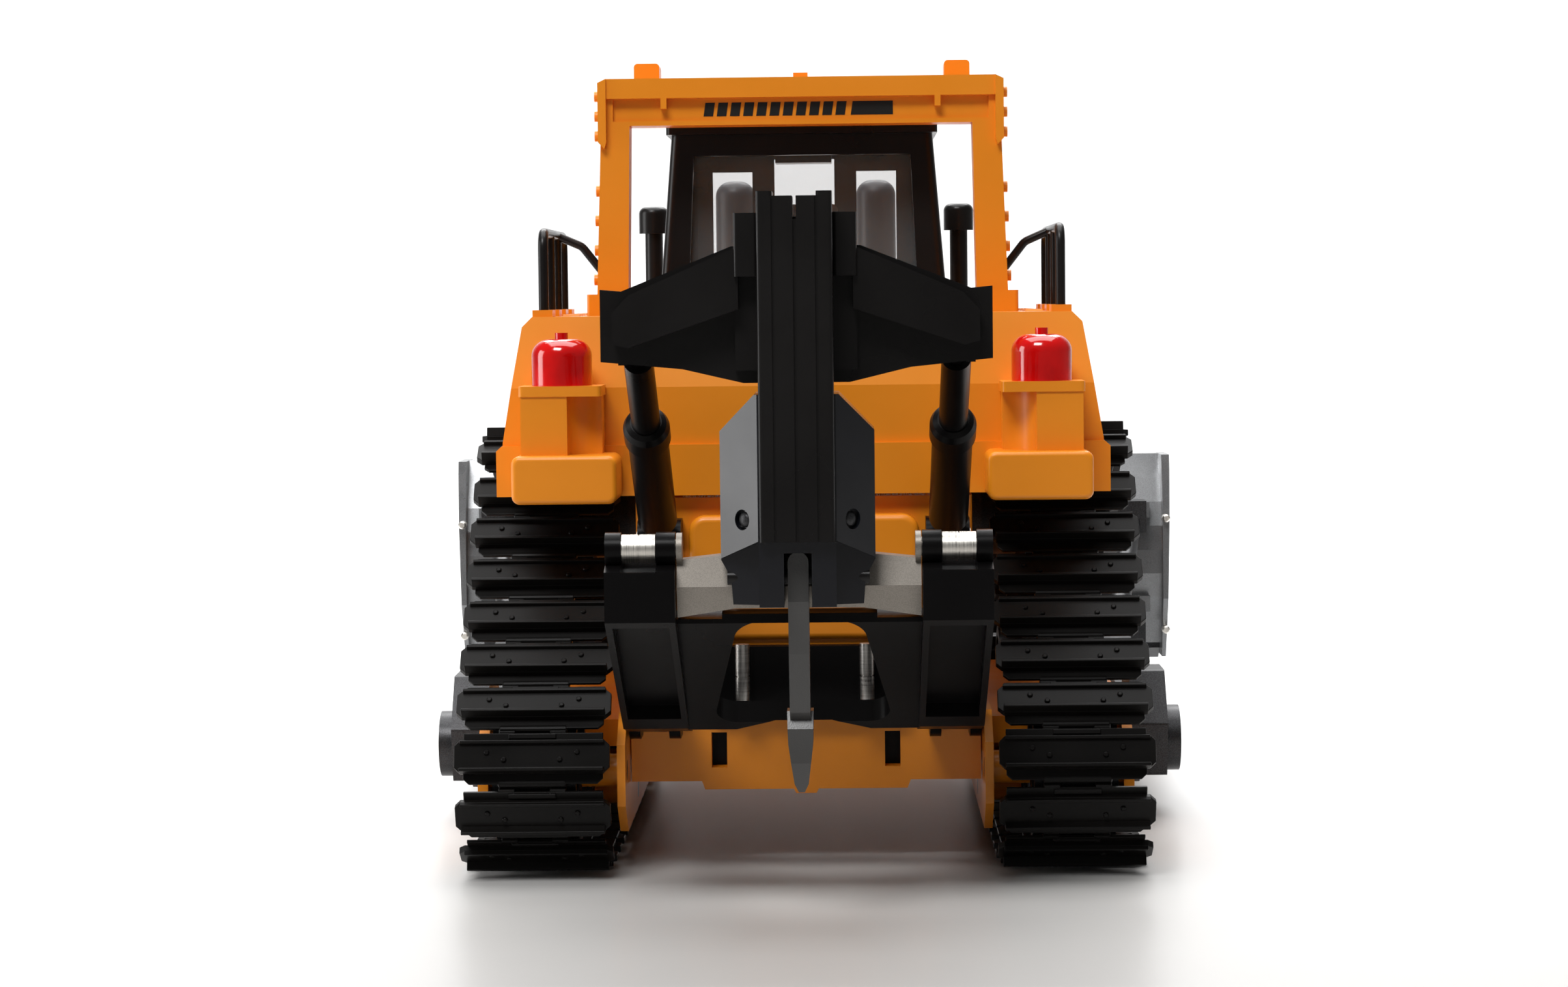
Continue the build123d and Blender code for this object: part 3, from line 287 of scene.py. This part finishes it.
def from_behind(u, v, depth):
    """Outline in X and Z, depth along Y."""
    return (u, depth, v)


def turned(bm, centre, axis, profile, segments=24):
    """Solid of revolution: profile is a list of (distance along the axis, radius)."""
    axis = Vector(axis).normalized()
    side = axis.orthogonal().normalized()
    other = axis.cross(side)
    rings = []
    for along, radius in profile:
        ring = []
        for step in range(segments):
            angle = 2 * math.pi * step / segments
            offset = side * math.cos(angle) + other * math.sin(angle)
            ring.append(Vector(centre) + axis * along + offset * radius)
        rings.append(ring)
    loft(bm, rings)


# ---- tracks -------------------------------------------------------------------------------
PITCH_RADIUS = 24.0 * MM
GROUSER_TOP = 5.5 * MM
LINK_COUNT = 39
BELT_START = 3.0 * MM
SHOE_HALF = 4.8 * MM
CORNER_CUT = 1.7 * MM
PLATE_INNER = -1.0 * MM
PLATE_OUTER = -2.9 * MM
PLATE_SEAT = -2.8 * MM        # grousers and bolt heads start just inside the plate


def wheel_centre(name):
    place = JOINTS[f"{name}_spin"]["pos_m"]
    return place[1], place[2]


def belt_wheels():
    """Centres of the wheels that a belt runs round, in running order."""
    return [wheel_centre(f"right_{name}") for name in ("rear_idler", "front_idler", "sprocket")]


def belt_place(distance):
    """Point on the line of the link pins, and the heading of the belt there."""
    wheels = belt_wheels()
    for index, centre in enumerate(wheels):
        following = wheels[(index + 1) % 3]
        last = wheels[(index + 2) % 3]
        heading = math.atan2(following[1] - centre[1], following[0] - centre[0])
        length = math.dist(centre, following)
        if distance <= length:
            y = centre[0] + PITCH_RADIUS * math.sin(heading) + distance * math.cos(heading)
            z = centre[1] - PITCH_RADIUS * math.cos(heading) + distance * math.sin(heading)
            return y, z, heading
        distance -= length
        next_heading = math.atan2(last[1] - following[1], last[0] - following[0])
        turn = (next_heading - heading) % (2 * math.pi)
        if distance <= turn * PITCH_RADIUS:
            angle = heading + distance / PITCH_RADIUS
            y = following[0] + PITCH_RADIUS * math.sin(angle)
            z = following[1] - PITCH_RADIUS * math.cos(angle)
            return y, z, angle
        distance -= turn * PITCH_RADIUS
    return belt_place(distance)


def belt_length():
    wheels = belt_wheels()
    sides = sum(math.dist(wheels[index], wheels[(index + 1) % 3]) for index in range(3))
    return sides + 2 * math.pi * PITCH_RADIUS


def shoe_mesh(bm, inner, outer):
    """One shoe: notched plate on a base sheet, tall and low grousers, four bolt heads, two pegs and
    a bar behind them, two link rails with their webs, and the pin bush."""
    middle = (inner + outer) / 2
    half = SHOE_HALF
    cut = CORNER_CUT
    outline = [(inner, cut - half), (inner + cut, -half), (outer - cut, -half), (outer, cut - half),
               (outer, half - cut), (outer - cut, half), (inner + cut, half), (inner, half - cut)]
    prism(bm, outline, PLATE_OUTER, PLATE_INNER, from_above)
    ends = (inner + 1.6 * MM, outer - 1.6 * MM)
    tall = [(half, PLATE_SEAT), (half - 0.35 * MM, -GROUSER_TOP), (half - 1.25 * MM, -GROUSER_TOP),
            (half - 1.9 * MM, PLATE_SEAT)]
    prism(bm, tall, *ends, across)
    low = [(-half + 1.5 * MM, PLATE_SEAT), (-half + 1.1 * MM, -4.0 * MM),
           (-half + 0.2 * MM, -4.0 * MM), (-half, PLATE_SEAT)]
    prism(bm, low, *ends, across)
    base = (inner + 2.0 * MM, outer - 2.5 * MM)
    slant = 1.6 * MM
    sheet = [(base[0], -7.0 * MM), (base[1], -7.0 * MM), (base[1], 6.2 * MM),
             (base[1] - slant, 7.7 * MM), (base[0] + slant, 7.7 * MM), (base[0], 6.2 * MM)]
    prism(bm, sheet, -1.2 * MM, -0.2 * MM, from_above)
    width = outer - inner
    for share, row in ((0.21, -1.2), (0.79, -1.2), (0.32, 0.9), (0.68, 0.9)):
        head = (inner + share * width, row * MM, PLATE_SEAT)
        turned(bm, head, (0, 0, -1), [(0, 0.85 * MM), (0.5 * MM, 0.8 * MM), (0.7 * MM, 0.5 * MM)], 12)
    for end in (-1, 1):
        peg = (middle + end * 5.2 * MM, -6.2 * MM, -1.1 * MM)
        turned(bm, peg, (0, 0, -1), [(0, 0.8 * MM), (0.5 * MM, 0.7 * MM), (0.7 * MM, 0.4 * MM)], 10)
    bar = [(-6.9, -1.1), (-6.7, -1.9), (-5.3, -1.9), (-4.9, -1.1)]
    prism(bm, in_mm(bar), middle - 6.8 * MM, middle + 6.8 * MM, across)
    for rail in (-1, 1):
        x0, x1 = sorted((middle + rail * 5.0 * MM, middle + rail * 9.6 * MM))
        side = [(-7.7, -1.1), (7.7, -1.1), (7.9, 0.6), (6.9, 2.6), (5.4, 3.2), (2.4, 3.2), (1.2, 2.7),
                (-1.2, 2.7), (-2.4, 3.2), (-5.4, 3.2), (-6.9, 2.6), (-7.9, 0.6)]
        prism(bm, in_mm(side), x0, x1, across)
        web0, web1 = sorted((middle + rail * 9.6 * MM, middle + rail * 13.5 * MM))
        web = [(-4.2, -1.1), (4.2, -1.1), (2.6, 1.2), (-2.6, 1.2)]
        prism(bm, in_mm(web), web0, web1, across)
    bush = [(0, 1.0 * MM), (0.3 * MM, 1.3 * MM), (19.3 * MM, 1.3 * MM), (19.6 * MM, 1.0 * MM)]
    turned(bm, (middle - 9.8 * MM, 7.2 * MM, 0.0), (1, 0, 0), bush, 14)


def track_belts():
    pitch = belt_length() / LINK_COUNT
    for side, sign in (("right", 1), ("left", -1)):
        low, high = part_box(f"{side}_track_belt")
        inner, outer = sorted((abs(low.x), abs(high.x)))
        bm = bmesh.new()
        for index in range(LINK_COUNT):
            y, z, heading = belt_place(BELT_START + index * pitch)
            before = len(bm.verts)
            shoe_mesh(bm, inner, outer)
            bm.verts.ensure_lookup_table()
            place = Matrix.Translation((0, y, z)) @ Matrix.Rotation(heading, 4, "X")
            mirror = Matrix.Diagonal((sign, 1, 1, 1))
            for vertex in bm.verts[before:]:
                vertex.co = mirror @ place @ vertex.co
        belt = piece(f"{side}_track_shoes", bm, TRACK, "chassis")
        bevelled(belt, 0.22 * MM, 2, 40)
        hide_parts(f"{side}_track_belt")


# ---- carried-over CAD nodes ---------------------------------------------------------------
FINISHES = {
    ORANGE: ["chassis_tub", "battery_door", "rear_cover", "body_shell", "tail_lamp_pods", "hood",
             "radiator_guard", "rollover_frame", "track_frames"],
    BLACK: ["radiator_grille", "exhaust_stacks", "cab_frame", "cab_roof", "handrails", "ripper_mast",
            "ripper_wings", "carriage_pins", "power_switch"],
    # the draft frame, ripper brackets and struts take the darker copy of the black plastic as painted
    # shade
    SHADED_BLACK: ["draft_frame", "ripper_brackets", "strut_barrels", "strut_rods"],
    GLOSSY_BLACK: ["ripper_housing"],
    TRACK: ["left_sprocket", "right_sprocket"],
    GUNMETAL: ["wheel_axles", "final_drive_housings", "cutting_edge", "push_arms", "lift_barrels"],
    CAST: ["ripper_shank", "ripper_tooth"],
    SILVER_PAINT: ["blade_board"],
    WARM_METAL: ["carriage_beam"],
    STEEL: ["bracket_pins", "chassis_screws", "lift_rods", "drive_units"],
    SATIN_STEEL: ["pivot_sleeves"],
    STEEL_UPRIGHT: ["hitch_rods"],
    INTERIOR: ["air_precleaners", "cab_interior"],
    RED: ["tail_lamp_domes"],
    CLEAR: ["roof_lamp_lenses"],
    WINDOW: ["cab_windows"],
    GREEN: ["circuit_board"],
    BATTERY: ["battery_pack"],
}
SHARP = {"cab_windows", "roof_lamp_lenses", "circuit_board", "radiator_grille",
         "chassis_screws", "handrails"}
ROUNDED = {"ripper_mast": 0.6, "ripper_wings": 0.9, "ripper_housing": 0.7, "draft_frame": 0.7,
           "ripper_shank": 0.7, "ripper_tooth": 0.7, "rear_cover": 0.7, "carriage_beam": 0.5}
for material, names in FINISHES.items():
    for name in names:
        width = 0.0 if name in SHARP else ROUNDED.get(name, 0.45)
        dress(name, material, width * MM, 3 if name in ROUNDED else 2)
for name in NODES:
    if "idler" in name or "roller_" in name:
        dress(name, GUNMETAL, 0.4 * MM)


track_belts()


# ---- pieces too fine for the CAD -----------------------------------------------------------
BAR_COUNT = 11
EDGE_BOLTS = 14
FRAME_BOLTS = 7
HUB_BOLTS = 8
HUB_BOLT_CIRCLE = 8.0 * MM
GRIP_COUNT = 9
GRIP_PITCH = 11.0 * MM


def beam_decal():
    """Row of plain slanted bars and a solid block on the recessed face of the roll bar beam."""
    low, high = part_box("rollover_frame")
    face = low.y + 4.2 * MM
    foot = high.z - 18.5 * MM
    head = high.z - 14.4 * MM
    near, far = face - 0.12 * MM, face + 0.1 * MM
    bm = bmesh.new()
    for index in range(BAR_COUNT):
        x = (-29.5 + 4.0 * index) * MM
        bar = [(x, foot), (x + 2.9 * MM, foot), (x + 3.5 * MM, head), (x + 0.6 * MM, head)]
        prism(bm, bar, near, far, from_behind)
    block = [(15.2, foot), (28.0, foot), (28.0, head), (15.8, head)]
    prism(bm, [(x * MM, z) for x, z in block], near, far, from_behind)
    piece("beam_decal", bm, DECAL, "chassis")


def blade_fittings():
    """Pins on the back edge of the blade cheeks and bolt heads along the cutting edge."""
    low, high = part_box("blade_board")
    bm = bmesh.new()
    for side in (-1, 1):
        for up, back in ((54.0, 30.8), (11.0, 28.4)):
            start = (side * (high.x - 2.0 * MM), high.y - back * MM, low.z + up * MM)
            turned(bm, start, (0, -1, 0), [(-2.0 * MM, 1.5 * MM), (2.6 * MM, 1.5 * MM),
                                           (3.2 * MM, 1.0 * MM)], 16)
    piece("blade_cheek_pins", bm, SATIN_STEEL, "blade")
    low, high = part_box("cutting_edge")
    bm = bmesh.new()
    for step in range(EDGE_BOLTS):
        x = low.x + (high.x - low.x) * (step + 0.5) / EDGE_BOLTS
        turned(bm, (x, high.y - 3.0 * MM, low.z + 6.5 * MM), (0, 0.957, 0.29),
               [(-0.5 * MM, 2.1 * MM), (1.2 * MM, 2.0 * MM), (1.8 * MM, 1.3 * MM)], 16)
    piece("cutting_edge_bolts", bm, STEEL, "blade")


def dome(bm, place, axis, radius, height, segments=20):
    """Low domed screw head, sunk slightly into the face it sits on."""
    profile = [(-0.3 * MM, radius), (0.35 * height, radius), (0.7 * height, 0.82 * radius),
               (0.92 * height, 0.5 * radius), (height, 0.2 * radius)]
    turned(bm, place, axis, profile, segments)


def housing_screws():
    """Domed screws at the bottom of the two recesses of the ripper housing."""
    low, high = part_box("ripper_housing")
    bm = bmesh.new()
    for side in (-1, 1):
        seat = (side * (high.x - 6.8 * MM), low.y + 5.2 * MM, low.z + 22.5 * MM)
        dome(bm, seat, (side, -1, 0), 2.0 * MM, 1.3 * MM)
    screws = smooth(piece("housing_screw_heads", bm, GUNMETAL, "ripper_carriage"))
    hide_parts("housing_screws")


def slot_shade_sheets():
    """Dark sheets close the two slots of the rear cover from inside the chassis: painted shade that makes
    the slots read dark.
    """
    low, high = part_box("rear_cover")
    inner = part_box("chassis_tub")[0].y + 2.3 * MM
    bm = bmesh.new()
    for side in (-1, 1):
        x0, x1 = sorted((side * (high.x - 30.0 * MM), side * (high.x - 22.0 * MM)))
        outline = [(x0, low.z + 6.0 * MM), (x1, low.z + 6.0 * MM), (x1, low.z + 20.0 * MM),
                   (x0, low.z + 20.0 * MM)]
        prism(bm, outline, inner, inner + 0.8 * MM, from_behind)
    piece("cover_slot_shade_sheets", bm, TRACK, "chassis")


def track_frame_bolts():
    """Bolt heads on the outer plates of the track frames and round the sprocket hubs."""
    low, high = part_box("track_frames")
    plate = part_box("right_roller_1")[1].x + 5.75 * MM
    bm = bmesh.new()
    for side in (-1, 1):
        for step in range(FRAME_BOLTS):
            y = low.y + (36.0 + 25.0 * step) * MM
            dome(bm, (side * plate, y, high.z - 4.5 * MM), (side, 0, 0), 1.6 * MM, 1.1 * MM, 12)
    smooth(piece("track_frame_bolts", bm, GUNMETAL, "chassis"))
    for side, sign in (("right", 1), ("left", -1)):
        centre = JOINTS[f"{side}_sprocket_spin"]["pos_m"]
        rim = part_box(f"{side}_sprocket")
        face = (rim[1].x if sign > 0 else -rim[0].x) - 4.0 * MM
        bm = bmesh.new()
        for step in range(HUB_BOLTS):
            angle = 2 * math.pi * step / HUB_BOLTS
            spot = (sign * face, centre[1] + HUB_BOLT_CIRCLE * math.sin(angle),
                    centre[2] + HUB_BOLT_CIRCLE * math.cos(angle))
            dome(bm, spot, (sign, 0, 0), 0.85 * MM, 1.0 * MM, 10)
        smooth(piece(f"{side}_hub_bolts", bm, STEEL, f"{side}_sprocket"))


def deck_grips():
    """Raised anti-slip bars along the fender decks, and cab door handles."""
    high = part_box("body_shell")[1]
    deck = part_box("cab_frame")[0].z
    bm = bmesh.new()
    for side in (-1, 1):
        for step in range(GRIP_COUNT):
            y = high.y - 54.0 * MM - GRIP_PITCH * step
            x0, x1 = sorted((side * 67.5 * MM, side * 72.5 * MM))
            bar = [(y, deck - 0.2 * MM), (y + 4.0 * MM, deck - 0.2 * MM),
                   (y + 3.5 * MM, deck + 0.6 * MM), (y + 0.5 * MM, deck + 0.6 * MM)]
            prism(bm, bar, x0, x1, across)
    piece("deck_grips", bm, ORANGE, "chassis")
    cab_low, cab_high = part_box("cab_frame")
    bm = bmesh.new()
    for side in (-1, 1):
        wall = cab_high.x - 0.6 * MM
        for up in (5.0, 7.0):
            start = (side * wall, cab_high.y - 32.0 * MM, cab_low.z + up * MM)
            turned(bm, start, (0, 1, 0), [(0, 0.7 * MM), (0.4 * MM, 0.9 * MM), (7.6 * MM, 0.9 * MM),
                                          (8.0 * MM, 0.7 * MM)], 12)
    piece("cab_door_handles", bm, GLOSSY_BLACK, "chassis")


beam_decal()
blade_fittings()
housing_screws()
# dark sheets behind the rear cover slots, painted shade
slot_shade_sheets()
track_frame_bolts()
deck_grips()


# ---- stage, light and camera --------------------------------------------------------------
FLOOR_END = 2.2
SWEEP_RADIUS = 0.9
SWEEP_STEPS = 12
WALL_TOP = 4.0


def backdrop():
    """White sweep: floor, a large-radius curve and an upright wall; the floor colour carries painted
    shade, dark grey near the camera and under the toy, light grey behind it.
    """
    profile = [(-4.0, 0.0), (FLOOR_END, 0.0)]
    for step in range(1, SWEEP_STEPS + 1):
        angle = math.radians(90 * step / SWEEP_STEPS)
        y = FLOOR_END + SWEEP_RADIUS * math.sin(angle)
        profile.append((y, SWEEP_RADIUS * (1 - math.cos(angle))))
    profile.append((FLOOR_END + SWEEP_RADIUS, WALL_TOP))
    bm = bmesh.new()
    rows = []
    for y, z in profile:
        rows.append([bm.verts.new((x, y, z)) for x in (-5.0, 5.0)])
    for near, far in zip(rows, rows[1:]):
        bm.faces.new((near[0], near[1], far[1], far[0]))
    mesh = bpy.data.meshes.new("sweep")
    bm.to_mesh(mesh)
    bm.free()
    sweep = bpy.data.objects.new("sweep", mesh)
    bpy.context.scene.collection.objects.link(sweep)
    for polygon in mesh.polygons:
        polygon.use_smooth = True
    material, tree, shader = new_material("white_sweep")
    coords = tree.nodes.new("ShaderNodeTexCoord")
    split = tree.nodes.new("ShaderNodeSeparateXYZ")
    tree.links.new(coords.outputs["Object"], split.inputs["Vector"])
    # painted shade: the floor colour goes from light grey behind the toy to mid grey under it and dark
    # grey towards the camera
    depth = tree.nodes.new("ShaderNodeMapRange")
    depth.inputs["From Min"].default_value = -0.50
    depth.inputs["From Max"].default_value = 0.25
    tree.links.new(split.outputs["Y"], depth.inputs["Value"])
    shade = ramp(tree, depth.outputs["Result"], [(0.0, (0.33, 0.32, 0.31)), (0.45, (0.56, 0.55, 0.535)),
                                                 (1.0, (0.87, 0.87, 0.87))])
    tree.links.new(shade, shader.inputs["Base Color"])
    paper = noise(tree, 300.0, 3.0)
    tree.links.new(spread(tree, paper, 0.30, 0.312), shader.inputs["Roughness"])
    mesh.materials.append(material)


def softbox(name, place, target, size, power):
    light = bpy.data.lights.new(name, "AREA")
    light.shape = "RECTANGLE"
    light.size = size[0]
    light.size_y = size[1]
    light.energy = power
    lamp = bpy.data.objects.new(name, light)
    lamp.location = place
    lamp.rotation_euler = (Vector(target) - Vector(place)).to_track_quat("-Z", "Y").to_euler()
    bpy.context.scene.collection.objects.link(lamp)


def studio():
    backdrop()
    world = bpy.data.worlds.new("studio")
    world.use_nodes = True
    background = world.node_tree.nodes["Background"]
    background.inputs["Color"].default_value = (1.0, 1.0, 1.0, 1.0)
    background.inputs["Strength"].default_value = 0.10
    bpy.context.scene.world = world
    softbox("top_softbox", (0.0, 0.1, 1.8), (0.0, 0.05, 0.0), (1.9, 1.2), 30.0)
    softbox("wall_wash", (0.0, 1.6, 2.6), (0.0, 3.1, 0.9), (3.0, 0.8), 85.0)
    softbox("key_softbox", (-0.45, -1.35, 1.75), (0.0, -0.1, 0.12), (0.9, 0.6), 29.0)
    softbox("left_softbox", (-1.25, -0.22, 0.34), (0.0, -0.2, 0.12), (0.5, 0.8), 6.0)
    softbox("rim_softbox", (0.0, 1.1, 1.3), (0.0, -0.1, 0.15), (1.4, 0.5), 16.0)


CAMERA_PLACE = (0.0128, -1.100, 0.167)
CAMERA_PITCH = math.radians(-3.31)
CAMERA_YAW = math.radians(1.06)
CAMERA_ROLL = math.radians(-0.64)


def camera():
    """Low view of the back of the toy, a little right of its middle."""
    data = bpy.data.cameras.new("camera")
    data.sensor_width = 36.0
    data.lens = 77.83
    data.clip_start = 0.05
    view = bpy.data.objects.new("camera", data)
    view.location = CAMERA_PLACE
    turn = Matrix.Rotation(CAMERA_YAW, 4, "Z") @ Matrix.Rotation(math.pi / 2 + CAMERA_PITCH, 4, "X")
    view.rotation_euler = (turn @ Matrix.Rotation(CAMERA_ROLL, 4, "Z")).to_euler()
    bpy.context.scene.collection.objects.link(view)
    bpy.context.scene.camera = view


studio()
camera()
bpy.context.scene.view_settings.view_transform = "Standard"
